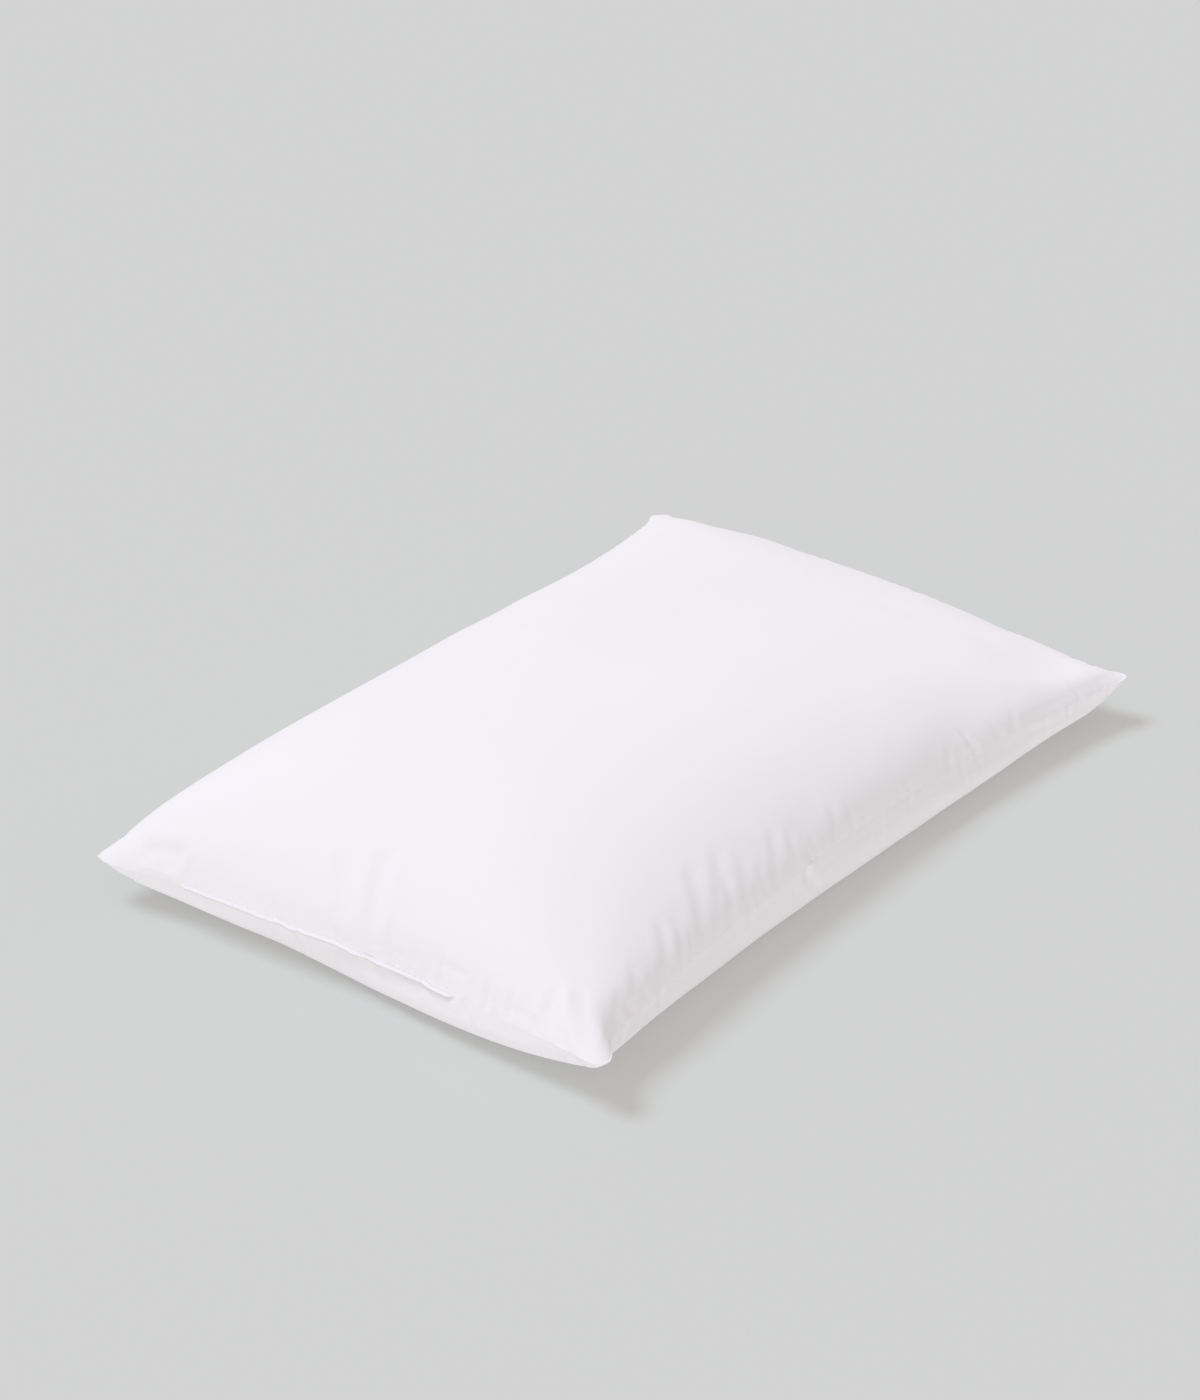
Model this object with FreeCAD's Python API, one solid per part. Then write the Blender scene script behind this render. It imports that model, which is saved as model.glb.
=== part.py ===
"""Bed pillow: a cotton casing of two panels round a soft filling. It rests on its underside at Z = 0."""

import FreeCAD, Part
import math
import os

os.makedirs("parts", exist_ok=True)

# Driving dimensions, in millimetres. X runs along the pillow, Y across it.
CORNER_LENGTH = 724.0  # filled, from corner to corner
CORNER_WIDTH = 484.0
END_PULL = 15.0  # how far the middle of a short end is drawn in
SIDE_PULL = 17.0  # how far the middle of a long side is drawn in
SEAM_HEIGHT = 54.0
TOTAL_HEIGHT = 130.0
UNDERSIDE_DEPTH = 64.0  # how far the free underside would hang below the seam
CLOTH = 0.5
WALL_INSET = 2.0  # from the outline to the inside of the casing, in plan

# Turned-in seam allowance, with its lockstitch and overlocked raw edges
ALLOWANCE = 10.0
LOCKSTITCH_INSET = 4.2
THREAD = 0.4
OVERLOCK_WIDTH = 3.5
OVERLOCK_THREAD = 0.4
FILL_INSET = 12.0
FILL_GAP = 0.4

# Filling opening in the left short end, closed by an edge-stitched lip
CLOSING_START = -118.0
CLOSING_END = 168.0
LIP_WIDTH = 5.0
STITCH_PITCH = 3.0
STITCH_SIZE = (2.5, 0.4, 0.35)
STITCH_OUTSET = 2.6

# Folded care label in the seam of the right short end
LABEL_AT_Y = 150.0
LABEL_WIDTH = 30.0
LABEL_DROP = 40.0
LABEL_THICKNESS = 0.4
LABEL_TAB = 8.0

# Pole places from edge to edge of a panel: close together where the cloth turns down steeply
POLE_STEPS = (-1.0, -0.95, -0.84, -0.64, -0.34, 0.0, 0.34, 0.64, 0.84, 0.95, 1.0)
CROWN_POWER = 2.6
CROWN_SOFTNESS = 0.62


def spline_rules(count):
    """Multiplicities and knots of a clamped cubic with this many poles."""
    spans = count - 3
    return [4] + [1] * (spans - 1) + [4], [i / spans for i in range(spans + 1)]


def plan(u, v, inset):
    """The place in plan of panel point (u, v), each from -1 to 1, inset from the outline."""
    half_length = CORNER_LENGTH / 2 - inset - END_PULL * (1 - v * v)
    half_width = CORNER_WIDTH / 2 - inset - SIDE_PULL * (1 - u * u)
    return u * half_length, v * half_width


def swell(u, v):
    """How full the pillow is at (u, v): 0 along the seam and 1 in the middle."""
    across = max(0.0, 1 - abs(u) ** CROWN_POWER)
    along = max(0.0, 1 - abs(v) ** CROWN_POWER)
    return (across * along) ** CROWN_SOFTNESS


def panel_face(inset, base, rise):
    """A panel's surface, which stands this high over its base in the middle, or hangs if rise is negative."""
    poles = []
    for u in POLE_STEPS:
        row = []
        for v in POLE_STEPS:
            x, y = plan(u, v, inset)
            row.append(FreeCAD.Vector(x, y, base + rise * swell(u, v)))
        poles.append(row)
    mults, knots = spline_rules(len(POLE_STEPS))
    surface = Part.BSplineSurface()
    surface.buildFromPolesMultsKnots(poles, mults, mults, knots, knots, False, False, 3, 3)
    return surface.toShape()


def edge_curve(points):
    """One side of the outline, with the same rules as the panel surfaces."""
    mults, knots = spline_rules(len(points))
    curve = Part.BSplineCurve()
    curve.buildFromPolesMultsKnots(points, mults, knots, False, 3)
    return curve.toShape()


def outline_side(inset, height, fixed_u=None, fixed_v=None):
    """The edge of the outline where u or v is held at -1 or 1."""
    points = []
    for step in POLE_STEPS:
        u = step if fixed_u is None else fixed_u
        v = step if fixed_v is None else fixed_v
        x, y = plan(u, v, inset)
        points.append(FreeCAD.Vector(x, y, height))
    return edge_curve(points)


def slab(inset, low, high):
    """Everything inside the outline, inset, from height low to height high."""
    sides = [
        outline_side(inset, low, fixed_v=-1),
        outline_side(inset, low, fixed_u=1),
        outline_side(inset, low, fixed_v=1),
        outline_side(inset, low, fixed_u=-1),
    ]
    face = Part.Face(Part.Wire(Part.__sortEdges__(sides)))
    return face.extrude(FreeCAD.Vector(0, 0, high - low))


def band(outer_inset, inner_inset, low, high):
    """A closed band that follows the outline between two insets."""
    return slab(outer_inset, low, high).cut(slab(inner_inset, low, high))


def closed_solid(faces):
    """The solid inside faces that meet at their edges."""
    shell = Part.makeShell(faces)
    shell.sewShape()
    solid = Part.makeSolid(shell)
    if solid.Volume < 0:
        solid.reverse()
    return solid


def half(inset, base, rise):
    """The space between a level base and a panel surface that meets it at the outline."""
    curved = panel_face(inset, base, rise)
    level = Part.Face(Part.Wire(Part.__sortEdges__(curved.Edges)))
    return closed_solid([curved, level])


def block(x_range, y_range, z_range):
    """A box between two places on each axis."""
    size = [high - low for low, high in (x_range, y_range, z_range)]
    return Part.makeBox(*size, FreeCAD.Vector(x_range[0], y_range[0], z_range[0]))


def above(height):
    """Everything over a height."""
    reach = CORNER_LENGTH
    return block((-reach, reach), (-reach, reach), (height, reach))


def closing_zone():
    """The stretch of the left short end that the filling opening takes."""
    left = -CORNER_LENGTH / 2
    return block((left - 20, left + 60), (CLOSING_START, CLOSING_END), (0, TOTAL_HEIGHT))


def turned_edge(low, high):
    """A panel's edge layer: the turned-in allowance, or the lip that stands out along the filling opening."""
    turned_in = band(0, ALLOWANCE, low, high).cut(closing_zone())
    standing_out = band(-LIP_WIDTH, WALL_INSET, low, high).common(closing_zone())
    return turned_in.fuse(standing_out)


def top_panel():
    base = SEAM_HEIGHT + CLOTH
    rise = TOTAL_HEIGHT - base
    dome = half(0, base, rise).cut(half(WALL_INSET, base, rise - CLOTH))
    return dome.fuse(turned_edge(SEAM_HEIGHT, base)).removeSplitter()


def bottom_panel():
    base = SEAM_HEIGHT - CLOTH
    outside = half(0, base, -UNDERSIDE_DEPTH).common(above(0))
    inside = half(WALL_INSET, base, CLOTH - UNDERSIDE_DEPTH).common(above(CLOTH))
    return outside.cut(inside).fuse(turned_edge(base, SEAM_HEIGHT)).removeSplitter()


def fill():
    room = CLOTH + FILL_GAP
    upper = panel_face(FILL_INSET, SEAM_HEIGHT, TOTAL_HEIGHT - SEAM_HEIGHT - room)
    lower = panel_face(FILL_INSET, SEAM_HEIGHT, room - UNDERSIDE_DEPTH)
    return closed_solid([upper, lower]).common(above(room))


def seam_stitching():
    """The two threads of the hidden lockstitch, one on each face of the allowance."""
    inner = LOCKSTITCH_INSET + THREAD
    over = SEAM_HEIGHT + CLOTH
    under = SEAM_HEIGHT - CLOTH - THREAD
    rows = [band(LOCKSTITCH_INSET, inner, low, low + THREAD) for low in (over, under)]
    return Part.makeCompound([row.cut(closing_zone()) for row in rows])


def overlock_thread():
    """The thread wrapped round the raw edges of both layers of the allowance."""
    reach = CLOTH + OVERLOCK_THREAD
    outer = ALLOWANCE - OVERLOCK_WIDTH
    inner = ALLOWANCE + OVERLOCK_THREAD
    wrap = band(outer, inner, SEAM_HEIGHT - reach, SEAM_HEIGHT + reach).cut(closing_zone())
    return wrap.cut(slab(0, SEAM_HEIGHT - CLOTH, SEAM_HEIGHT + CLOTH).cut(
        slab(ALLOWANCE, SEAM_HEIGHT - CLOTH, SEAM_HEIGHT + CLOTH)))


def closing_stitching():
    """The visible stitches along the lip, above and below it."""
    row = outline_side(-STITCH_OUTSET, 0, fixed_u=-1)
    points = row.discretize(Distance=STITCH_PITCH)
    length, width, height = STITCH_SIZE
    stitches = []
    for start, end in zip(points, points[1:]):
        if min(start.y, end.y) < CLOSING_START + 1 or max(start.y, end.y) > CLOSING_END - 1:
            continue
        middle = (start + end) * 0.5
        turn = math.degrees(math.atan2(end.y - start.y, end.x - start.x))
        for low in (SEAM_HEIGHT + CLOTH, SEAM_HEIGHT - CLOTH - height):
            stitch = Part.makeBox(length, width, height, FreeCAD.Vector(-length / 2, -width / 2, 0))
            stitch.rotate(FreeCAD.Vector(0, 0, 0), FreeCAD.Vector(0, 0, 1), turn)
            stitch.translate(FreeCAD.Vector(middle.x, middle.y, low))
            stitches.append(stitch)
    return Part.makeCompound(stitches)


def care_label():
    """A folded tape whose tab is caught between the panels, and whose loop hangs down outside."""
    v = LABEL_AT_Y / (CORNER_WIDTH / 2)
    x, y = plan(1, v, 0)
    nearby_x, nearby_y = plan(1, v + 0.01, 0)
    turn = math.degrees(math.atan2(nearby_y - y, nearby_x - x)) - 90
    across = (-LABEL_WIDTH / 2, LABEL_WIDTH / 2)
    half_thickness = LABEL_THICKNESS / 2
    tab = block((-LABEL_TAB, 1.0), across, (-half_thickness, half_thickness))
    loop = block((0.4, 0.4 + LABEL_THICKNESS), across, (-LABEL_DROP, half_thickness))
    label = tab.fuse(loop)
    label.rotate(FreeCAD.Vector(0, 0, 0), FreeCAD.Vector(0, 0, 1), turn)
    label.translate(FreeCAD.Vector(x, y, SEAM_HEIGHT))
    return label.removeSplitter()


def export(name, shape):
    print(name, "valid", shape.isValid(), "solids", len(shape.Solids), "mm3", round(shape.Volume))
    shape.exportStep(f"parts/{name}.step")


label = care_label()
export("top_panel", top_panel().cut(label))
export("bottom_panel", bottom_panel().cut(label))
export("fill", fill())
export("seam_stitching", seam_stitching().cut(label))
export("overlock_thread", overlock_thread().cut(label))
export("closing_stitching", closing_stitching())
export("care_label", label)
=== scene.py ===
import math
import random

import bmesh
import bpy
import numpy as np
from mathutils import Matrix, Vector, noise


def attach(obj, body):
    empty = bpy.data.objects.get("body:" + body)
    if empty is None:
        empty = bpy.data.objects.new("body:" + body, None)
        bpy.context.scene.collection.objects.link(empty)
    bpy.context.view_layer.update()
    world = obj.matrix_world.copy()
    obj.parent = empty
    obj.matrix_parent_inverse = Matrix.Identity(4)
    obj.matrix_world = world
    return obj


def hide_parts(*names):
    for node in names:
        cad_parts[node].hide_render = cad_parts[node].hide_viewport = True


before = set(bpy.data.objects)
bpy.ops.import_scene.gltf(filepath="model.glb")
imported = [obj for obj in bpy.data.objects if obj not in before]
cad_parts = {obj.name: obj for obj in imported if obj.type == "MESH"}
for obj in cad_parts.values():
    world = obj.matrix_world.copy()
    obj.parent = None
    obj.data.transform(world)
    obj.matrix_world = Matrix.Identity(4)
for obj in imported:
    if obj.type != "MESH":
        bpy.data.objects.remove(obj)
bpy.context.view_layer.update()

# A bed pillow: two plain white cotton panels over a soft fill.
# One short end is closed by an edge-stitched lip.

MM = 0.001

# The flat cut of each panel, from seam to seam, and the step of the cloth that is laid out on it.
CUT_LENGTH = 750 * MM
CUT_WIDTH = 500 * MM
CLOTH_STEP = 10 * MM
CELLS_LONG = round(CUT_LENGTH / CLOTH_STEP)
CELLS_WIDE = round(CUT_WIDTH / CLOTH_STEP)

# The filled pillow, in mm. +X is the plain far end, -X the end with the closing lip.
HALF_LENGTH = 362
HALF_WIDTH = 240.9
DRAW_IN = {"near_end": 14, "far_end": 4.4, "near_side": 32, "far_side": 24}
CORNER_HEIGHT = {"near_left": 43.4, "far_left": 42.5, "far_right": 38.2, "near_right": 44.2}
SEAM_HEIGHT = {"near_end": 43.6, "far_end": 52.7, "near_side": 48.3, "far_side": 42.1}
CROWN_HEIGHT = 130.4
CROWN_FALL = -12.2
CROWN_POWER = {"near_end": 4.2, "far_end": 1.3, "near_side": 2.55, "far_side": 3.2}
CROWN_SOFTNESS = (0.56, 0.59)
UNDERSIDE_DEPTH = 114
UNDERSIDE_POWER = 1.81
UNDERSIDE_SOFTNESS = 0.38
FLOOR_CLEARANCE = 1.2

# Pushes on the filled shape, in mm: where on the cut (x, y), how far round it, which panels, and the move.
# A push on one panel alone fades out over SEAM_HOLD towards the seam, so that the panels still meet.
SEAM_HOLD = 9
BOTH = (1, -1)
TOP = (1,)
UNDER = (-1,)
PUSHES = [
    ((-375, -250), (20, 20), BOTH, (-5, -7, 0)),
    ((-361, -250), (11, 15), BOTH, (1, -8, 0)),
    ((-334, -250), (12, 15), BOTH, (0, 4, 0)),
    ((375, 250), (14, 22), BOTH, (-3, 3, 3)),
    ((-375, 250), (20, 20), BOTH, (3, 0, 0)),
    ((-345, 215), (40, 40), TOP, (0, 0, 5)),
    ((335, 140), (45, 60), TOP, (0, 0, 4)),
    ((-350, -110), (40, 75), UNDER, (-7, 0, 0)),
    ((-350, 80), (40, 45), UNDER, (4, 0, 0)),
    ((60, -225), (110, 40), UNDER, (0, -6, 0)),
    ((-270, -225), (40, 40), UNDER, (0, 3, 0)),
    ((310, -225), (40, 40), UNDER, (0, 3, 0)),
    ((315, -200), (28, 25), TOP, (0, 0, -6)),
    ((350, -236), (18, 14), TOP, (0, 0, 3)),
    ((375, -250), (12, 12), BOTH, (0, 0, 3)),
    ((345, 250), (14, 12), BOTH, (0, -3, 0)),
    ((375, 220), (14, 14), BOTH, (-5, 0, -3)),
    ((-375, 250), (30, 30), BOTH, (0, 0, -4)),
    ((-375, 226), (14, 18), BOTH, (-4, 0, 0)),
    ((-350, 222), (25, 25), UNDER, (-2, 0, -1)),
    ((-375, 218), (20, 20), BOTH, (0, 0, -4)),
    ((335, -228), (28, 25), UNDER, (0, -3, -4)),
]

# Each corner is a blunt ear, in mm: how far its point is drawn back and the seam beside it stands out.
EAR_STEP = 11
EAR_SPREAD = (8, 8)
EAR_POINT_SPREAD = (6, 6)
EARS = {(-1, -1): (3, 2), (-1, 1): (3, 2.5), (1, -1): (3.5, 3.5), (1, 1): (7, 5.5)}
for (end, side), (point, flank) in EARS.items():
    PUSHES += [
        ((end * 375, side * 250), EAR_POINT_SPREAD, BOTH, (-end * point, -side * point, 0)),
        ((end * (375 - EAR_STEP), side * 250), EAR_SPREAD, BOTH, (0, side * flank, 0)),
        ((end * 375, side * (250 - EAR_STEP)), EAR_SPREAD, BOTH, (end * flank, 0, 0)),
    ]

# Gathers and dents: from (x, y) to (x, y) on the cut, half width, depth in mm, and the panel.
# Each is pressed in with a low ridge on either side, and fades out past its two ends.
RIDGE_SHARE = 0.45
RIDGE_AT = 1.9
END_FADE = 1.4
GATHERS = [
    # The near long side, from the far corner to the near one.
    ((236, -236), (230, -247), 4, 0.8, 1),
    ((152, -236), (146, -247), 4, 0.8, 1),
    ((-5, -222), (-15, -243), 4.5, 0.6, 1),
    ((-62, -222), (-70, -240), 4, 0.5, 1),
    ((-77, -213), (-98, -240), 5, 0.7, 1),
    ((-120, -215), (-133, -229), 5, 0.5, 1),
    ((-139, -201), (-160, -221), 5.5, 0.75, 1),
    ((-150, -222), (-162, -244), 5, 1.1, 1),
    ((-172, -199), (-196, -230), 6, 0.9, 1),
    ((-220, -219), (-233, -242), 5, 0.75, 1),
    ((-235, -215), (-258, -241), 5.5, 0.9, 1),
    ((-285, -223), (-303, -242), 5, 0.75, 1),
    ((-313, -231), (-323, -244), 4.5, 0.65, 1),
    # The near short end, from the left corner to the near one.
    ((-360, 197), (-357, 173), 6.5, 2.8, 1),
    ((-368, 180), (-366, 172), 4, 1.2, 1),
    ((-315, 23), (-349, 7), 8, 1.2, 1),
    ((-303, -9), (-354, -21), 7, 1.6, 1),
    ((-367, -18), (-363, -30), 3, 1.1, 1),
    ((-348, -39), (-362, -44), 4, 1.4, 1),
    ((-358, -92), (-358, -112), 3.5, 1.1, 1),
    ((-360, -137), (-371, -139), 3, 1.4, 1),
    ((-358, -159), (-368, -161), 3, 1.4, 1),
    ((-349, -192), (-358, -197), 5, 1.6, 1),
    ((-338, -199), (-365, -221), 5, -1.5, 1),
    # The long shallow fold by the far end.
    ((284, -66), (304, -152), 11, 0.7, 1),
    # The lower panel, below the near long side and the closing.
    ((-40, -222), (-56, -243), 4.5, 0.7, -1),
    ((-362, -122), (-374, -121), 4, 1.6, -1),
    ((-358, -30), (-374, -22), 6, 1.2, -1),
    ((-356, 60), (-374, 66), 7, 1.0, -1),
    ((-356, -70), (-374, -74), 6, 1.0, -1),
]

# The small puckers that the sewing leaves along the seams: how many, and the ranges of their sizes in mm.
PUCKERS = 150
PUCKER_LENGTH = (6, 22)
PUCKER_WIDTH = (2.6, 4.2)
PUCKER_DEPTH = (0.25, 0.85)
PUCKER_SPAN = 0.94
PUCKER_LEAN = 0.35
PUCKER_SEED = 11

# The faint line where the cloth drops off the edge of the turned-in allowance.
MARK_INSET = 9 * MM
MARK_WIDTH = 2.6 * MM
MARK_DEPTH = 0.7 * MM
MARK_UNEVEN = (0.55, 0.9)  # its least share of the depth, and how much that varies
MARK_LUMPS = 21

# The cloth while it settles.
SETTLE_FRAMES = 30
FIRST_FRAMES = 8
CLOTH_MASS = 0.3
FILL_DENSITY = 0.03
FILL_VOLUME = 0.9
FOLD_SPREAD = 24
FOLD_SOFTEN = 2
FOLD_LIMIT = 6 * MM
FOLD_SHARE = (0.1, 0.75)
FOLD_REACH = 38 * MM

# The seams.
ALLOWANCE = 8 * MM
LIP_START = -113 * MM
LIP_END = 168 * MM
LIP_RAMP = 12 * MM
LIP_DROOP = 0.6
LIP_STANDS = 0.35  # the share from which the lip's fold is a soft one
CLOTH = 0.4 * MM
CORNER_TRIM = 45 * MM
CORNER_SLIVER = 0.03
TRIM_FOR_STITCHES = 0.6
NO_STITCHES = 0.5  # a share that counts neither as the lip nor as the plain seam
ON_LIP = 0.98
OFF_LIP = 0.02

# The threads. Outsets, insets and lifts are from the seam, in mm.
UP = np.array([0, 0, 1.0])
STITCH_SIZE = (2.5 * MM, 0.4 * MM, 0.35 * MM)
STITCH_PITCH = 3 * MM
CLOSING_OUTSET = 1.7
CLOSING_LIFT = 0.6
LOCKSTITCH_INSET = 4.2
LOCKSTITCH_LIFT = 0.3
THREAD_RADIUS = 0.2 * MM
OVERLOCK_PITCH = 0.75 * MM
OVERLOCK_TURNS = [(6.4, 0.35), (8.3, 0.0), (6.4, -0.35), (8.3, 0.0)]  # (inset, lift)

# The fill: how far it is drawn in from the seams, and how deep its lumps sink into it.
FILL_INSET = 13 * MM
FILL_FADE = 0.035
FILL_SINK = (1.2, 2.2)
FILL_LUMPS = 28

# The blank label: a folded tape caught in the seam of the far end, hanging against the lower panel.
LABEL_AT = 150 * MM
LABEL_WIDTH = 30 * MM
LABEL_HANG = 37

# The camera: its direction, distance, lens, and how far it is moved sideways and up from its aim.
AZIMUTH = math.radians(-52.62)
ELEVATION = math.radians(29.33)
DISTANCE = 3.735
LENS = 119.9
SHIFT_LEFT = 0.02405
SHIFT_UP = 0.08587


def clip(a):
    return np.clip(a, 0, 1)


def plump(side, fine):
    """Points of the filled panel on an even grid over its cut: side 1 is the top, -1 the underside."""
    u = np.linspace(-1, 1, CELLS_LONG * fine + 1)[:, None] + np.zeros((1, CELLS_WIDE * fine + 1))
    v = np.linspace(-1, 1, CELLS_WIDE * fine + 1)[None, :] + np.zeros((CELLS_LONG * fine + 1, 1))
    ends = np.where(u < 0, DRAW_IN["near_end"], -DRAW_IN["far_end"])
    sides = np.where(v < 0, DRAW_IN["near_side"], -DRAW_IN["far_side"])
    x = u * HALF_LENGTH + ends * abs(u) * (1 - v * v)
    y = v * HALF_WIDTH + sides * abs(v) * (1 - u * u)
    c, s = CORNER_HEIGHT, SEAM_HEIGHT
    z = (1 - u) * (1 + v) * c["near_left"] + (1 + u) * (1 + v) * c["far_left"]
    z = (z + (1 + u) * (1 - v) * c["far_right"] + (1 - u) * (1 - v) * c["near_right"]) / 4
    z = z + (1 + v) / 2 * (s["far_side"] - (c["near_left"] + c["far_left"]) / 2) * (1 - u * u)
    z = z + (1 - v) / 2 * (s["near_side"] - (c["far_right"] + c["near_right"]) / 2) * (1 - u * u)
    z = z + (1 - u) / 2 * (s["near_end"] - (c["near_left"] + c["near_right"]) / 2) * (1 - v * v)
    z = z + (1 + u) / 2 * (s["far_end"] - (c["far_left"] + c["far_right"]) / 2) * (1 - v * v)
    if side > 0:
        long_power = np.where(u < 0, CROWN_POWER["near_end"], CROWN_POWER["far_end"])
        wide_power = np.where(v < 0, CROWN_POWER["near_side"], CROWN_POWER["far_side"])
        swell = clip(1 - abs(u) ** long_power) ** CROWN_SOFTNESS[0]
        swell = swell * clip(1 - abs(v) ** wide_power) ** CROWN_SOFTNESS[1]
        z = z + (CROWN_HEIGHT + CROWN_FALL * u - z) * swell
    else:
        swell = clip(1 - abs(u) ** UNDERSIDE_POWER) * clip(1 - abs(v) ** UNDERSIDE_POWER)
        z = np.maximum(FLOOR_CLEARANCE, z - UNDERSIDE_DEPTH * swell ** UNDERSIDE_SOFTNESS)
    return np.stack([x, y, z], axis=2) * MM


def evened(points, along):
    """Slides the points along the grid's lines until they are evenly spaced."""
    lines = np.moveaxis(points, along, 0)
    step = np.linalg.norm(np.diff(lines, axis=0), axis=2)
    reach = np.concatenate([np.zeros((1, step.shape[1])), np.cumsum(step, axis=0)])
    share = np.linspace(0, 1, len(lines))
    out = np.empty_like(lines)
    for k in range(lines.shape[1]):
        for axis in range(3):
            out[:, k, axis] = np.interp(share * reach[-1, k], reach[:, k], lines[:, k, axis])
    return np.moveaxis(out, 0, along)


def filled_panel(side):
    """The filled panel's points, one for each point of the cut, spaced as the cloth lies on it."""
    fine = 4
    points = plump(side, fine)
    for along in (0, 1, 0, 1):
        points = evened(points, along)
    points = points[::fine, ::fine].copy()
    x = np.linspace(-0.5, 0.5, CELLS_LONG + 1)[:, None] * CUT_LENGTH / MM
    y = np.linspace(-0.5, 0.5, CELLS_WIDE + 1)[None, :] * CUT_WIDTH / MM
    for at, spread, panels, move in PUSHES:
        if side in panels:
            share = np.exp(-(((x - at[0]) / spread[0]) ** 2 + ((y - at[1]) / spread[1]) ** 2) / 2)
            if len(panels) == 1:
                from_seam = np.minimum(CUT_LENGTH / MM / 2 - abs(x), CUT_WIDTH / MM / 2 - abs(y))
                share = share * (1 - np.exp(-((from_seam / SEAM_HOLD) ** 2)))
            points += share[:, :, None] * np.array(move) * MM
    points[:, :, 2] = np.maximum(points[:, :, 2], FLOOR_CLEARANCE * MM)
    return points


def sewn_case():
    """Two flat panels sewn together at their edges, with the cut in metres as their UV map."""
    bm = bmesh.new()
    uv = bm.loops.layers.uv.new("cut")
    panel = bm.faces.layers.int.new("panel")
    crease = bm.edges.layers.float.new("crease_edge")
    bmesh.ops.create_grid(bm, x_segments=CELLS_LONG, y_segments=CELLS_WIDE, size=0.5)
    bmesh.ops.scale(bm, vec=(CUT_LENGTH, CUT_WIDTH, 1), verts=bm.verts)
    for face in bm.faces:
        face[panel] = 1
        for loop in face.loops:
            loop[uv].uv = loop.vert.co.xy
    copy = bmesh.ops.duplicate(bm, geom=bm.verts[:] + bm.edges[:] + bm.faces[:])["geom"]
    under = [part for part in copy if isinstance(part, bmesh.types.BMFace)]
    bmesh.ops.reverse_faces(bm, faces=under)
    for face in under:
        face[panel] = -1
    bmesh.ops.remove_doubles(bm, verts=[vert for vert in bm.verts if vert.is_boundary], dist=MM / 10)
    for edge in bm.edges:
        if len({face[panel] for face in edge.link_faces}) > 1:
            edge[crease] = 1
    bm.verts.ensure_lookup_table()
    mesh = bpy.data.meshes.new("case")
    bm.to_mesh(mesh)
    sides = {1: filled_panel(1), -1: filled_panel(-1)}
    filled = np.empty((len(bm.verts), 3))
    for vert in bm.verts:
        row = round((vert.co.x / CUT_LENGTH + 0.5) * CELLS_LONG)
        col = round((vert.co.y / CUT_WIDTH + 0.5) * CELLS_WIDE)
        filled[vert.index] = sides[vert.link_faces[0][panel]][row, col]
    bm.free()
    return mesh, filled


def points_of(mesh):
    flat = np.empty(len(mesh.vertices) * 3)
    mesh.vertices.foreach_get("co", flat)
    return flat.reshape(-1, 3)


def place(mesh, points):
    mesh.vertices.foreach_set("co", points.ravel())
    mesh.update()


def enclosed(mesh, points):
    """The volume inside the mesh, in cubic metres."""
    mesh.calc_loop_triangles()
    corners = np.array([triangle.vertices for triangle in mesh.loop_triangles])
    a, b, c = points[corners[:, 0]], points[corners[:, 1]], points[corners[:, 2]]
    return float((a * np.cross(b, c)).sum() / 6)


def settled(mesh, filled):
    """Lets the sewn case settle round its fill as cloth, and gives back its points."""
    scene = bpy.context.scene
    case = bpy.data.objects.new("case", mesh.copy())
    scene.collection.objects.link(case)
    case.shape_key_add(name="cut")
    key = case.shape_key_add(name="filled")
    key.data.foreach_set("co", filled.ravel())
    key.value = 1
    key.keyframe_insert("value", frame=1)
    key.value = 0
    key.keyframe_insert("value", frame=FIRST_FRAMES)
    bm = bmesh.new()
    bmesh.ops.create_grid(bm, x_segments=1, y_segments=1, size=2)
    table = bpy.data.objects.new("table", bpy.data.meshes.new("table"))
    bm.to_mesh(table.data)
    bm.free()
    scene.collection.objects.link(table)
    table.modifiers.new("touch", "COLLISION")
    table.collision.thickness_outer = 0.001
    table.collision.cloth_friction = 15
    cloth = case.modifiers.new("cloth", "CLOTH")
    rules = cloth.settings
    rules.use_dynamic_mesh = True
    rules.quality = 6
    rules.mass = CLOTH_MASS * CUT_LENGTH * CUT_WIDTH / (CELLS_LONG * CELLS_WIDE)
    rules.tension_stiffness = 40
    rules.compression_stiffness = 40
    rules.shear_stiffness = 10
    rules.bending_stiffness = 0.5
    rules.bending_damping = 0.5
    rules.use_pressure = True
    rules.use_pressure_volume = True
    rules.target_volume = FILL_VOLUME * enclosed(case.data, filled)
    rules.uniform_pressure_force = 0
    rules.pressure_factor = 10
    rules.fluid_density = FILL_DENSITY
    cloth.collision_settings.collision_quality = 2
    cloth.collision_settings.distance_min = 0.0015
    cloth.collision_settings.use_self_collision = False
    cloth.point_cache.frame_end = SETTLE_FRAMES
    for number in range(1, SETTLE_FRAMES + 1):
        scene.frame_set(number)
    seen = case.evaluated_get(bpy.context.evaluated_depsgraph_get())
    points = points_of(seen.to_mesh())
    seen.to_mesh_clear()
    scene.frame_set(1)
    action = case.data.shape_keys.animation_data.action
    for made in (case, table):
        used = made.data
        bpy.data.objects.remove(made)
        bpy.data.meshes.remove(used)
    bpy.data.actions.remove(action)
    return points


def spread_out(moves, ends, rounds):
    """The moves, each averaged with its neighbours' that many times."""
    count = np.bincount(ends.ravel(), minlength=len(moves))[:, None]
    for _ in range(rounds):
        near = np.zeros_like(moves)
        np.add.at(near, ends[:, 0], moves[ends[:, 1]])
        np.add.at(near, ends[:, 1], moves[ends[:, 0]])
        moves = (moves + near / count) / 2
    return moves


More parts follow.
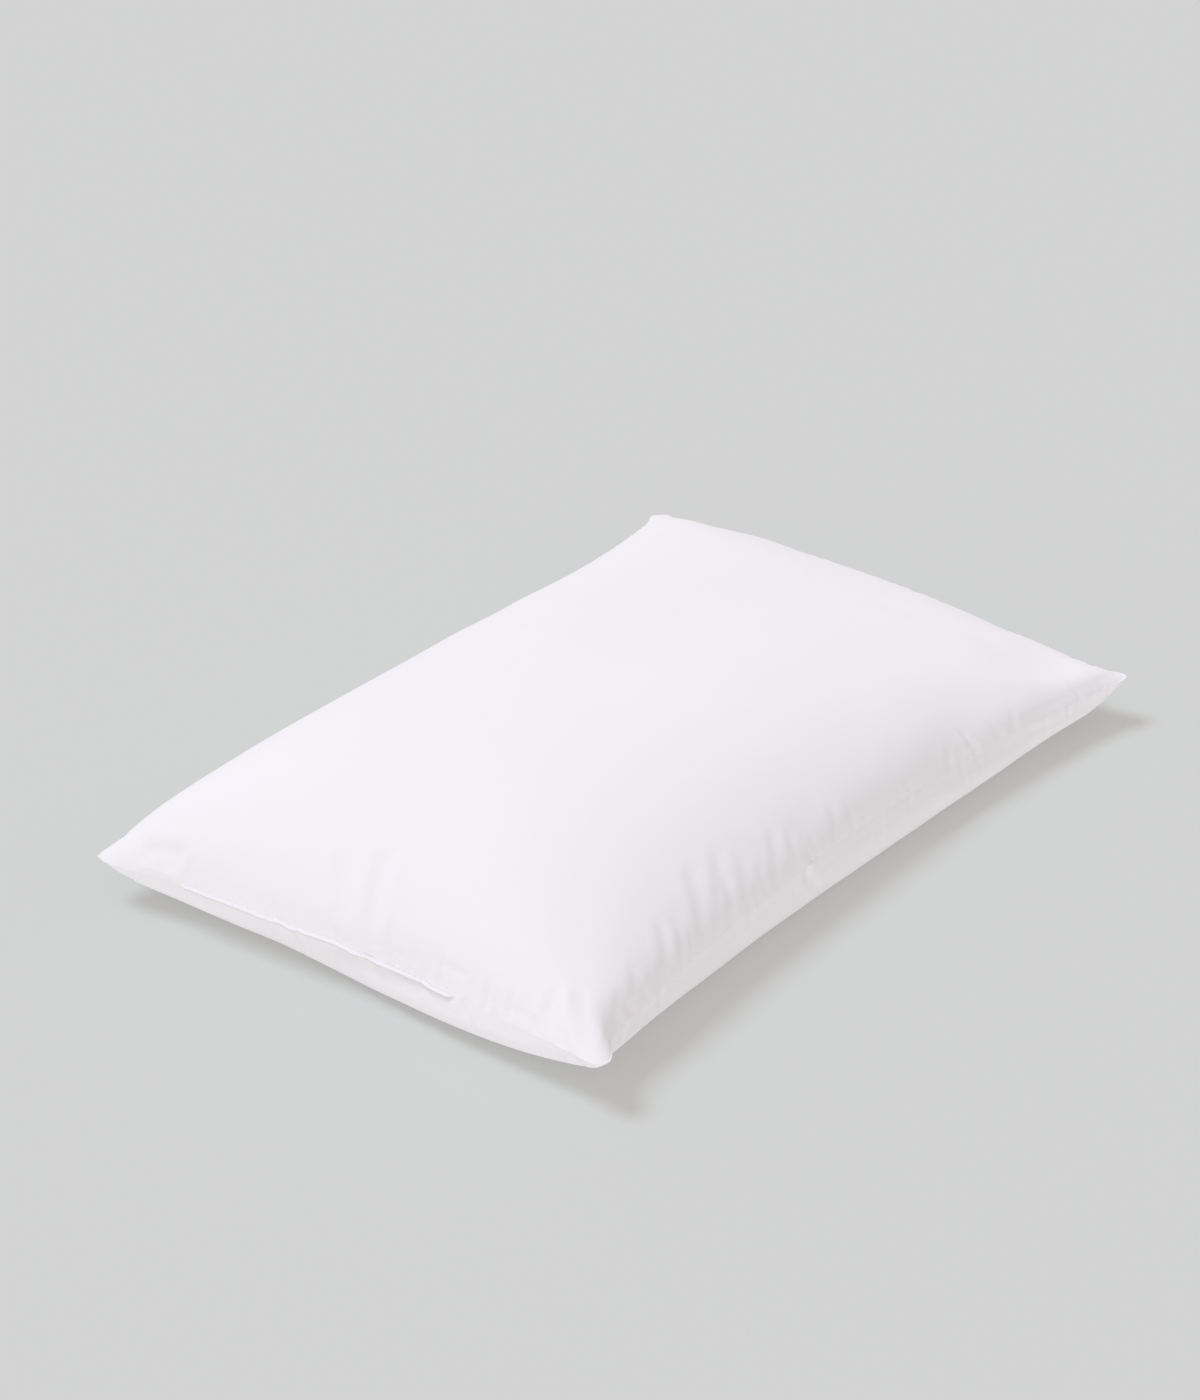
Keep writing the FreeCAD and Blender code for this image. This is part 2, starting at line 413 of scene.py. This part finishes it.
def with_folds(mesh, filled, soft):
    """The filled shape with the settled cloth's folds on it, strongest near the seams."""
    ends = np.array([edge.vertices for edge in mesh.edges])
    fold = soft + spread_out(filled - soft, ends, FOLD_SPREAD) - filled
    fold = spread_out(fold, ends, FOLD_SOFTEN)
    cut = points_of(mesh)
    from_seam = np.minimum(CUT_LENGTH / 2 - abs(cut[:, 0]), CUT_WIDTH / 2 - abs(cut[:, 1]))
    share = FOLD_SHARE[0] + FOLD_SHARE[1] * np.exp(-(from_seam / FOLD_REACH) ** 2)
    size = np.linalg.norm(fold, axis=1)
    share = share * FOLD_LIMIT * np.tanh(size / FOLD_LIMIT) / np.maximum(size, 1e-9)
    points = filled + fold * share[:, None]
    points[:, 2] = np.maximum(points[:, 2], FLOOR_CLEARANCE * MM)
    return points


def smoothed(mesh, levels):
    """The mesh subdivided that many times, kept sharp at the seam."""
    piece = bpy.data.objects.new("smooth", mesh)
    bpy.context.scene.collection.objects.link(piece)
    finer = piece.modifiers.new("finer", "SUBSURF")
    finer.levels = finer.render_levels = levels
    seen = piece.evaluated_get(bpy.context.evaluated_depsgraph_get())
    out = bpy.data.meshes.new_from_object(seen)
    bpy.data.objects.remove(piece)
    return out


def puckers():
    """Small gathers at uneven places along all four seams, on both panels."""
    draw = random.Random(PUCKER_SEED)
    half_x, half_y = CUT_LENGTH / MM / 2, CUT_WIDTH / MM / 2
    made = []
    for _ in range(PUCKERS):
        side = draw.choice((1, -1))
        at = draw.uniform(-PUCKER_SPAN, PUCKER_SPAN)
        length = draw.uniform(*PUCKER_LENGTH)
        lean = draw.uniform(-PUCKER_LEAN, PUCKER_LEAN) * length
        size = (draw.uniform(*PUCKER_WIDTH), draw.uniform(*PUCKER_DEPTH))
        edge = draw.choice((1, -1))
        if draw.random() < CUT_LENGTH / (CUT_LENGTH + CUT_WIDTH):
            start = (at * half_x, edge * half_y)
            end = (at * half_x + lean, edge * (half_y - length))
        else:
            start = (edge * half_x, at * half_y)
            end = (edge * (half_x - length), at * half_y + lean)
        made.append((start, end, *size, side))
    return made


def gathered(mesh):
    """Presses the gathers and dents into the cloth, along its own normals."""
    count = len(mesh.vertices)
    cut = np.zeros((count, 2))
    panel = np.zeros(count)
    uv = mesh.uv_layers["cut"].data
    marks = mesh.attributes["panel"].data
    for face in mesh.polygons:
        for loop in face.loop_indices:
            index = mesh.loops[loop].vertex_index
            cut[index] = uv[loop].uv
            panel[index] = marks[face.index].value
    normals = np.array([vert.normal for vert in mesh.vertices])
    points = points_of(mesh)
    from_seam = np.minimum(CUT_LENGTH / 2 - abs(cut[:, 0]), CUT_WIDTH / 2 - abs(cut[:, 1]))
    mark = np.exp(-(((from_seam - MARK_INSET) / MARK_WIDTH) ** 2))
    base, change = MARK_UNEVEN
    lumps = [noise.noise((x * MARK_LUMPS, y * MARK_LUMPS, z)) for (x, y), z in zip(cut, panel)]
    uneven = np.array([base + change * lump for lump in lumps])
    points -= normals * (mark * uneven)[:, None] * MARK_DEPTH
    for start, end, half_width, depth, side in GATHERS + puckers():
        a, b = np.array(start) * MM, np.array(end) * MM
        run = b - a
        long = max(float(np.hypot(*run)), MM)
        run = run / long
        along = (cut - a) @ run
        across = (cut - a) @ np.array([-run[1], run[0]])
        wide = half_width * MM
        ridge = np.exp(-(((abs(across) - RIDGE_AT * wide) / wide) ** 2))
        press = np.exp(-((across / wide) ** 2)) - RIDGE_SHARE * ridge
        over = np.maximum(np.maximum(-along, along - long), 0)
        press = press * np.exp(-((over / (END_FADE * wide)) ** 2)) * (panel == side)
        points -= normals * press[:, None] * depth * MM
    place(mesh, points)


def seam_run(mesh):
    """The seam's points in order round the pillow, with each one's place on the cut and its way outwards."""
    bm = bmesh.new()
    bm.from_mesh(mesh)
    panel = bm.faces.layers.int["panel"]
    uv = bm.loops.layers.uv["cut"]
    seam = {edge for edge in bm.edges if len({face[panel] for face in edge.link_faces}) > 1}
    edge = next(iter(sorted(seam, key=lambda e: e.index)))
    vert = edge.verts[0]
    first = vert
    run = []
    while True:
        vert = edge.other_vert(vert)
        run.append((vert.index, vert.co.copy(), vert.link_loops[0][uv].uv.copy()))
        if vert is first:
            break
        edge = next(e for e in vert.link_edges if e in seam and e is not edge)
    bm.free()
    points = np.array([point for _, point, _ in run])
    cut = np.array([place_on_cut for _, _, place_on_cut in run])
    ahead = np.roll(points, -2, axis=0) - np.roll(points, 2, axis=0)
    out = np.stack([ahead[:, 1], -ahead[:, 0], np.zeros(len(run))], axis=1)
    out /= np.linalg.norm(out, axis=1)[:, None]
    if (out * points).sum() < 0:
        out = -out
    return [index for index, _, _ in run], points, cut, out


def corner_share(cut):
    """How much of the seam allowance is left there: it is trimmed down to a sliver towards the corners."""
    from_corner = math.hypot(CUT_LENGTH / 2 - abs(cut[0]), CUT_WIDTH / 2 - abs(cut[1]))
    return min(1.0, max(CORNER_SLIVER, from_corner / CORNER_TRIM))


def lip_share(cut):
    """How far the closing lip stands out at that place of the seam: 0 outside it, 1 along it."""
    if cut[0] > -CUT_LENGTH / 2 + MM:
        return 0.0
    inside = min(cut[1] - LIP_START, LIP_END - cut[1])
    share = min(1.0, max(0.0, inside / LIP_RAMP))
    return share * share * (3 - 2 * share)


def stitched_share(cut):
    """The lip's share there, or NO_STITCHES where the allowance is trimmed too narrow to hold them."""
    return lip_share(cut) if corner_share(cut) >= TRIM_FOR_STITCHES else NO_STITCHES


def panel_piece(mesh, side, run):
    """One panel with its edge turned in along the seam and standing out as the closing lip."""
    bm = bmesh.new()
    bm.from_mesh(mesh)
    panel = bm.faces.layers.int["panel"]
    out_at = {}
    for index, cut, outwards in zip(run[0], run[2], run[3]):
        out_at[index] = (Vector(outwards), lip_share(cut), corner_share(cut))
    way = bm.verts.layers.float_vector.new("way")
    share = bm.verts.layers.float.new("lip")
    trim = bm.verts.layers.float.new("trim")
    for vert in bm.verts:
        if vert.index in out_at:
            vert[way], vert[share], vert[trim] = out_at[vert.index]
    bmesh.ops.delete(bm, geom=[face for face in bm.faces if face[panel] != side], context="FACES")
    rim = [edge for edge in bm.edges if edge.is_boundary]
    # Each step: how far out on the lip, its height there, and how far in and high on the plain seam, in mm.
    steps = [
        (0.9, 0.45, 0.4, 0.12),
        (1.9, 0.55, 0.9, 0.12),
        (2.7, 0.5, 1.4, 0.14),
        (3.1, 0.28, 2.0, 0.14),
        (2.7, 0.08, 3.0, 0.14),
        (-ALLOWANCE / MM, 0.1, ALLOWANCE / MM, 0.14),
    ]
    for edge in rim:
        edge.smooth = min(vert[share] for vert in edge.verts) > LIP_STANDS
    start = {vert: vert.co.copy() for edge in rim for vert in edge.verts}
    for lip_out, lip_up, turn_in, turn_up in steps:
        grown = bmesh.ops.extrude_edge_only(bm, edges=rim)["geom"]
        new_rim = [part for part in grown if isinstance(part, bmesh.types.BMEdge) and part.is_boundary]
        moved = {}
        for edge in new_rim:
            for vert in edge.verts:
                if vert in moved:
                    continue
                old = next(e.other_vert(vert) for e in vert.link_edges if e.other_vert(vert) in start)
                moved[vert] = start[old]
                on_lip = vert[share]
                reach = (1 - on_lip) * -turn_in * vert[trim] + on_lip * lip_out
                height = side * ((1 - on_lip) * turn_up + on_lip * lip_up)
                height -= on_lip * LIP_DROOP * max(lip_out, 0)
                vert.co = start[old] + (vert[way] * reach + Vector((0, 0, height))) * MM
        start = moved
        rim = new_rim
    for face in bm.faces:
        face.smooth = True
    bm.normal_update()
    out = bpy.data.meshes.new("panel")
    bm.to_mesh(out)
    bm.free()
    return out


def finished(name, mesh, slot, material, *nodes):
    """A piece at the origin that rides on the pillow and stands for its CAD solids."""
    piece = bpy.data.objects.new(name, mesh)
    bpy.context.scene.collection.objects.link(piece)
    mesh.materials.clear()
    mesh.materials.append(material)
    for face in mesh.polygons:
        face.use_smooth = True
    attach(piece, "root")
    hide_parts(*nodes)
    return piece


class Wire:
    """A material's socket that can be used in sums."""

    def __init__(self, tree, socket=None):
        self.tree = tree
        self.socket = socket

    def node(self, kind, out=0, settings=(), **feeds):
        made = self.tree.nodes.new("ShaderNode" + kind)
        for name, value in dict(settings).items():
            setattr(made, name, value)
        for name, value in feeds.items():
            key = int(name[1:]) if name[1:].isdigit() else name.replace("_", " ")
            socket = made.inputs[key]
            if isinstance(value, Wire):
                self.tree.links.new(value.socket, socket)
            else:
                socket.default_value = value
        return Wire(self.tree, made.outputs[out])

    def sum(self, operation, first, second=0.0):
        return self.node("Math", settings={"operation": operation}, _0=first, _1=second)

    def __add__(self, other):
        return self.sum("ADD", self, other)

    def __sub__(self, other):
        return self.sum("SUBTRACT", self, other)

    def __rsub__(self, other):
        return self.sum("SUBTRACT", other, self)

    def __mul__(self, other):
        return self.sum("MULTIPLY", self, other)

    def __truediv__(self, other):
        return self.sum("DIVIDE", self, other)

    __radd__ = __add__
    __rmul__ = __mul__


def finish_of(name, sheen, roughness):
    """A new material, its start wire and its shader."""
    material = bpy.data.materials.new(name)
    material.use_nodes = True
    tree = material.node_tree
    shader = tree.nodes["Principled BSDF"]
    shader.inputs["Sheen Weight"].default_value = sheen
    shader.inputs["Sheen Roughness"].default_value = 0.5
    shader.inputs["Roughness"].default_value = roughness
    shader.inputs["Specular IOR Level"].default_value = 0.3
    return material, Wire(tree), shader


def feed(shader, name, wire):
    wire.tree.links.new(wire.socket, shader.inputs[name])


def tint(start, mask, dark, light):
    """A colour between two, by the mask."""
    return start.node("Mix", out=2, settings={"data_type": "RGBA"}, _0=mask, _6=(*dark, 1), _7=(*light, 1))


def casing_cotton():
    """White percale: a fine plain weave with uneven threads, soft crumples and the pull of the stitches."""
    material, start, shader = finish_of("casing_cotton", 0.12, 0.85)
    place_on_cut = start.node("UVMap", settings={"uv_map": "cut"})
    parts = start.node("SeparateXYZ", _0=place_on_cut)
    x = parts
    y = Wire(start.tree, parts.socket.node.outputs[1])
    thread = 2 * math.pi / 0.00045
    wobble = start.node("TexNoise", _0=place_on_cut, Scale=900.0, Detail=2.0)
    warp = start.sum("SINE", x * thread + wobble * 2.0)
    weft = start.sum("SINE", y * thread + wobble * 2.0)
    weave = warp * weft
    slubs = start.node("TexNoise", _0=place_on_cut, Scale=260.0, Detail=3.0)
    crumple = start.node("TexNoise", _0=place_on_cut, Scale=22.0, Detail=4.0, Roughness=0.55)
    seam_x = CUT_LENGTH / 2 - start.sum("ABSOLUTE", x)
    seam_y = CUT_WIDTH / 2 - start.sum("ABSOLUTE", y)
    from_seam = start.sum("MAXIMUM", start.sum("MINIMUM", seam_x, seam_y), 0.0)
    near_seam = start.sum("EXPONENT", from_seam / -0.006)
    pull = start.sum("SINE", (x + y) * (2 * math.pi / 0.0032)) * near_seam
    cast = start.node("TexNoise", _0=place_on_cut, Scale=5.0, Detail=2.0)
    white = tint(start, cast * 0.6 + slubs * 0.4, (0.84, 0.832, 0.85), (0.875, 0.868, 0.885))
    feed(shader, "Base Color", white)
    feed(shader, "Roughness", slubs * 0.12 + 0.8)
    height = weave * 0.00002 + slubs * 0.00006 + crumple * 0.0011 + pull * 0.00012
    bump = start.node("Bump", Strength=0.55, Distance=1.0, Height=height)
    feed(shader, "Normal", bump)
    return material


def filling_fibre():
    """Loose white fibre: a soft tangle with no weave."""
    material, start, shader = finish_of("filling_fibre", 0.3, 0.95)
    where = start.node("TexCoord", out=3)
    lumps = start.node("TexNoise", _0=where, Scale=45.0, Detail=5.0, Roughness=0.6)
    fibre = start.node("TexNoise", _0=where, Scale=900.0, Detail=3.0, Distortion=2.5)
    feed(shader, "Base Color", tint(start, lumps, (0.80, 0.80, 0.79), (0.90, 0.90, 0.89)))
    height = lumps * 0.002 + fibre * 0.0004
    feed(shader, "Normal", start.node("Bump", Strength=0.7, Distance=1.0, Height=height))
    return material


def sewing_thread():
    """White spun thread with its twist."""
    material, start, shader = finish_of("sewing_thread", 0.2, 0.6)
    where = start.node("TexCoord", out=3)
    parts = start.node("SeparateXYZ", _0=where)
    y = Wire(start.tree, parts.socket.node.outputs[1])
    z = Wire(start.tree, parts.socket.node.outputs[2])
    twist = start.sum("SINE", (parts + y + z) * (2 * math.pi / 0.0005))
    fuzz = start.node("TexNoise", _0=where, Scale=1500.0, Detail=2.0)
    feed(shader, "Base Color", tint(start, fuzz, (0.82, 0.815, 0.83), (0.90, 0.895, 0.91)))
    height = twist * 0.00004 + fuzz * 0.00003
    feed(shader, "Normal", start.node("Bump", Strength=0.6, Distance=1.0, Height=height))
    return material


def label_tape():
    """Blank woven tape: fine ribs across it and a denser edge."""
    material, start, shader = finish_of("label_tape", 0.1, 0.5)
    place_on_tape = start.node("UVMap", settings={"uv_map": "tape"})
    parts = start.node("SeparateXYZ", _0=place_on_tape)
    y = Wire(start.tree, parts.socket.node.outputs[1])
    ribs = start.sum("SINE", y * (2 * math.pi / 0.0007))
    edge = start.sum("GREATER_THAN", start.sum("ABSOLUTE", parts), 0.0132)
    fuzz = start.node("TexNoise", _0=place_on_tape, Scale=1200.0, Detail=2.0)
    feed(shader, "Base Color", tint(start, fuzz * (1 - edge * 0.5), (0.82, 0.82, 0.82), (0.90, 0.90, 0.90)))
    height = ribs * 0.00003 * (1 - edge) + fuzz * 0.00002 + edge * 0.00008
    feed(shader, "Normal", start.node("Bump", Strength=0.6, Distance=1.0, Height=height))
    return material


def fill_mesh(case):
    """The fill: the case drawn in from the seams, with the small lumps of loose fibre."""
    bm = bmesh.new()
    bm.from_mesh(case)
    bm.normal_update()
    uv = bm.loops.layers.uv["cut"]
    panel = bm.faces.layers.int["panel"]
    for edge in bm.edges:
        if len({face[panel] for face in edge.link_faces}) > 1:
            edge[bm.edges.layers.float["crease_edge"]] = 0
    moves = {}
    for vert in bm.verts:
        cut = vert.link_loops[0][uv].uv
        side_x = CUT_LENGTH / 2 - abs(cut.x)
        side_y = CUT_WIDTH / 2 - abs(cut.y)
        pull_x = -math.copysign(FILL_INSET * math.exp(-side_x / FILL_FADE), cut.x)
        pull_y = -math.copysign(FILL_INSET * math.exp(-side_y / FILL_FADE), cut.y)
        lump = 0.5 + 0.5 * noise.noise(vert.co * FILL_LUMPS)
        moves[vert] = Vector((pull_x, pull_y, 0)) - vert.normal * (FILL_SINK[0] + FILL_SINK[1] * lump) * MM
    for vert, move in moves.items():
        vert.co += move
    mesh = bpy.data.meshes.new("fill")
    bm.to_mesh(mesh)
    bm.free()
    return smoothed(mesh, 1)


def evenly(points, others, pitch):
    """Places at an even pitch round a closed run of points, with the facts that go with each point."""
    points = np.vstack([points, points[:1]])
    others = [np.vstack([o, o[:1]]) for o in others]
    reach = np.concatenate([[0], np.cumsum(np.linalg.norm(np.diff(points, axis=0), axis=1))])
    at = np.arange(pitch / 2, reach[-1], pitch)
    spread = []
    for facts in (points, *others):
        columns = [np.interp(at, reach, facts[:, k]) for k in range(facts.shape[1])]
        spread.append(np.stack(columns, axis=1))
    return spread


def stitch_shape():
    """One stitch: a short plump bar, 1 by 1 by 1."""
    bm = bmesh.new()
    bmesh.ops.create_uvsphere(bm, u_segments=6, v_segments=4, radius=0.5)
    bmesh.ops.rotate(bm, verts=bm.verts, cent=(0, 0, 0), matrix=Matrix.Rotation(math.pi / 2, 3, "Y"))
    mesh = bpy.data.meshes.new("stitch")
    bm.to_mesh(mesh)
    bm.free()
    return mesh


def stitches(places, size):
    """A mesh of stitches, each at a point and along a direction."""
    bm = bmesh.new()
    one = stitch_shape()
    for point, ahead, up in places:
        ahead = Vector(ahead).normalized()
        side = Vector(up).cross(ahead).normalized()
        top = ahead.cross(side)
        turn = Matrix((ahead * size[0], side * size[1], top * size[2])).transposed().to_4x4()
        turn.translation = Vector(point)
        copy = one.copy()
        copy.transform(turn)
        bm.from_mesh(copy)
        bpy.data.meshes.remove(copy)
    bpy.data.meshes.remove(one)
    mesh = bpy.data.meshes.new("stitches")
    bm.to_mesh(mesh)
    bm.free()
    return mesh


def overlock(run, shares):
    """The thread that wraps the raw edge of the turned-in seam, over it and under it, in one run."""
    curve = bpy.data.curves.new("overlock", "CURVE")
    curve.dimensions = "3D"
    curve.bevel_depth = THREAD_RADIUS
    curve.bevel_resolution = 1
    curve.use_fill_caps = True
    points, outs, share = evenly(run[1], [run[3], shares], OVERLOCK_PITCH)
    path = []
    for number, (point, outwards, on_lip) in enumerate(zip(points, outs, share[:, 0])):
        if on_lip < OFF_LIP:
            inset, height = OVERLOCK_TURNS[number % len(OVERLOCK_TURNS)]
            path.append(point - outwards * inset * MM + UP * height * MM)
        elif path:
            add_run(curve, path)
            path = []
    add_run(curve, path)
    piece = bpy.data.objects.new("overlock", curve)
    bpy.context.scene.collection.objects.link(piece)
    mesh = bpy.data.meshes.new_from_object(piece.evaluated_get(bpy.context.evaluated_depsgraph_get()))
    bpy.data.objects.remove(piece)
    return mesh


def add_run(curve, path):
    """One unbroken length of the thread."""
    if len(path) > 1:
        run = curve.splines.new("POLY")
        run.points.add(len(path) - 1)
        for spot, point in zip(run.points, path):
            spot.co = (*point, 1)


def label(points):
    """A folded tape that leaves the seam and hangs in a soft curve, with its two layers a little apart."""
    off = [abs(y - LABEL_AT) + (1 if x < 0 else 0) for x, y, _ in points]
    top = Vector(points[off.index(min(off))])
    # The tape from end to end, in mm: how far out from the seam, and how high. Both ends are in the seam.
    path = [(-7, -0.1), (-2, -0.1), (1.2, -0.1), (2.6, -0.9), (3.1, -3), (2.9, -8), (2.2, -14), (1.5, -20),
            (1.3, -26), (1.5, -32), (1.9, -36.5), (1.6, -37.6), (0.7, -37.2), (0.5, -34), (0.4, -28),
            (0.5, -22), (0.9, -15), (1.4, -9), (1.6, -4), (1.2, -1.9), (-0.2, -0.9), (-2, -0.7), (-7, -0.7)]
    bm = bmesh.new()
    uv = bm.loops.layers.uv.new("tape")
    cells = 12
    bmesh.ops.create_grid(bm, x_segments=cells, y_segments=len(path) - 1, size=0.5)
    reach = [0.0]
    for (a, b), (c, d) in zip(path, path[1:]):
        reach.append(reach[-1] + math.hypot(c - a, d - b) * MM)
    for face in bm.faces:
        for loop in face.loops:
            row = round((loop.vert.co.y + 0.5) * (len(path) - 1))
            loop[uv].uv = (loop.vert.co.x * LABEL_WIDTH, reach[row])
    for vert in bm.verts:
        out, down = path[round((vert.co.y + 0.5) * (len(path) - 1))]
        across = vert.co.x
        hang = min(1.0, max(0.0, -down / LABEL_HANG))
        curl = 1.6 * hang * math.cos(across * 4.2) + 0.5 * hang * across
        vert.co = top + Vector(((out + 1.0 + curl) * MM, across * LABEL_WIDTH, down * MM))
    bmesh.ops.recalc_face_normals(bm, faces=bm.faces)
    mesh = bpy.data.meshes.new("label")
    bm.to_mesh(mesh)
    bm.free()
    return mesh, reach[-1]


def link(name, data):
    thing = bpy.data.objects.new(name, data)
    bpy.context.scene.collection.objects.link(thing)
    return thing


# The cloth: laid out flat, filled, settled, and given the folds that the hand leaves.
case_mesh, filled_points = sewn_case()
shaped = with_folds(case_mesh, filled_points, settled(case_mesh, filled_points))
place(case_mesh, shaped)
coarse_mesh = case_mesh.copy()
fine_mesh = smoothed(case_mesh, 2)
gathered(fine_mesh)
seam = seam_run(fine_mesh)

cotton = casing_cotton()
for node, piece_side in (("top_panel", 1), ("bottom_panel", -1)):
    cloth_mesh = panel_piece(fine_mesh, piece_side, seam)
    cloth_piece = finished(node + "_cloth", cloth_mesh, "casing_cotton", cotton, node)
    wall = cloth_piece.modifiers.new("cloth", "SOLIDIFY")
    wall.thickness = CLOTH
    wall.offset = -1

fibre = finished("fill_wadding", fill_mesh(coarse_mesh), "filling", filling_fibre(), "fill")

thread = sewing_thread()
shares = np.array([[stitched_share(cut)] for cut in seam[2]])
seam_points, seam_out, seam_share = evenly(seam[1], [seam[3], shares], STITCH_PITCH)
seam_ahead = np.roll(seam_points, -1, axis=0) - np.roll(seam_points, 1, axis=0)

lock_places = []
close_places = []
for point, outwards, on_lip, ahead in zip(seam_points, seam_out, seam_share[:, 0], seam_ahead):
    for level in (1, -1):
        if on_lip > ON_LIP:
            height = level * CLOSING_LIFT - LIP_DROOP * CLOSING_OUTSET
            close_places.append((point + outwards * CLOSING_OUTSET * MM + UP * height * MM, ahead, UP))
        elif on_lip < OFF_LIP:
            lock_at = point - outwards * LOCKSTITCH_INSET * MM + UP * level * LOCKSTITCH_LIFT * MM
            lock_places.append((lock_at, ahead, UP))
close_mesh = stitches(close_places, STITCH_SIZE)
finished("closing_stitches", close_mesh, "sewing_thread", thread, "closing_stitching")
lock_mesh = stitches(lock_places, STITCH_SIZE)
finished("seam_lockstitch", lock_mesh, "sewing_thread", thread, "seam_stitching")

finished("overlock_wrap", overlock(seam, shares), "sewing_thread", thread, "overlock_thread")

tape_mesh, tape_length = label(seam[1])
tape = finished("care_label_tape", tape_mesh, "label_tape", label_tape(), "care_label")
tape_wall = tape.modifiers.new("tape", "SOLIDIFY")
tape_wall.thickness = 0.3 * MM
tape_wall.offset = 0
tape_finer = tape.modifiers.new("finer", "SUBSURF")
tape_finer.levels = tape_finer.render_levels = 2

# The floor, the light and the camera.
bm = bmesh.new()
bmesh.ops.create_grid(bm, x_segments=1, y_segments=1, size=15)
floor_mesh = bpy.data.meshes.new("floor")
bm.to_mesh(floor_mesh)
bm.free()
floor = link("floor", floor_mesh)
floor_finish, _, floor_shader = finish_of("floor", 0, 0.9)
floor_shader.inputs["Base Color"].default_value = (0.4545, 0.4656, 0.4515, 1)
# The floor glows a little of its own: painted light that lightens the shadows cast on it and throws some
# light back up at the underside.
floor_shader.inputs["Emission Color"].default_value = (1, 1, 1, 1)
floor_shader.inputs["Emission Strength"].default_value = 0.17
floor_shader.inputs["Specular IOR Level"].default_value = 0
floor_mesh.materials.append(floor_finish)

flat = math.cos(ELEVATION)
back = Vector((math.sin(AZIMUTH) * flat, -math.cos(AZIMUTH) * flat, math.sin(ELEVATION)))
right = Vector((math.cos(AZIMUTH), math.sin(AZIMUTH), 0))
up = back.cross(right)
lens = bpy.data.cameras.new("camera")
lens.lens = LENS
lens.sensor_width = 36
lens.clip_end = 60
camera = link("camera", lens)
stand = Matrix((right, up, back)).transposed().to_4x4()
stand.translation = back * DISTANCE - right * SHIFT_LEFT + up * SHIFT_UP
camera.matrix_world = stand
bpy.context.scene.camera = camera

sun = bpy.data.lights.new("key", "SUN")
sun.energy = 1.36
sun.angle = math.radians(24)
sun.color = (0.765, 0.855, 0.935)
key_light = link("key", sun)
towards = (-right * 0.78 - back * 0.06 + Vector((0, 0, 1.45))).normalized()
key_light.rotation_euler = towards.to_track_quat("Z", "Y").to_euler()

# The light that a white table throws back up at the underside.
bounce = bpy.data.lights.new("bounce", "SUN")
bounce.energy = 1.0
bounce.color = (1.0, 0.97, 0.985)
bounce.angle = math.radians(60)
bounce.use_shadow = False
bounce_light = link("bounce", bounce)
from_below = (back * Vector((1, 1, 0)) - right * 0.05 - Vector((0, 0, 0.75))).normalized()
bounce_light.rotation_euler = from_below.to_track_quat("Z", "Y").to_euler()

world = bpy.data.worlds.new("studio")
world.use_nodes = True
world.node_tree.nodes["Background"].inputs["Color"].default_value = (1.0, 0.93, 0.932, 1)
world.node_tree.nodes["Background"].inputs["Strength"].default_value = 0.77
bpy.context.scene.world = world
bpy.context.scene.view_settings.view_transform = "Standard"
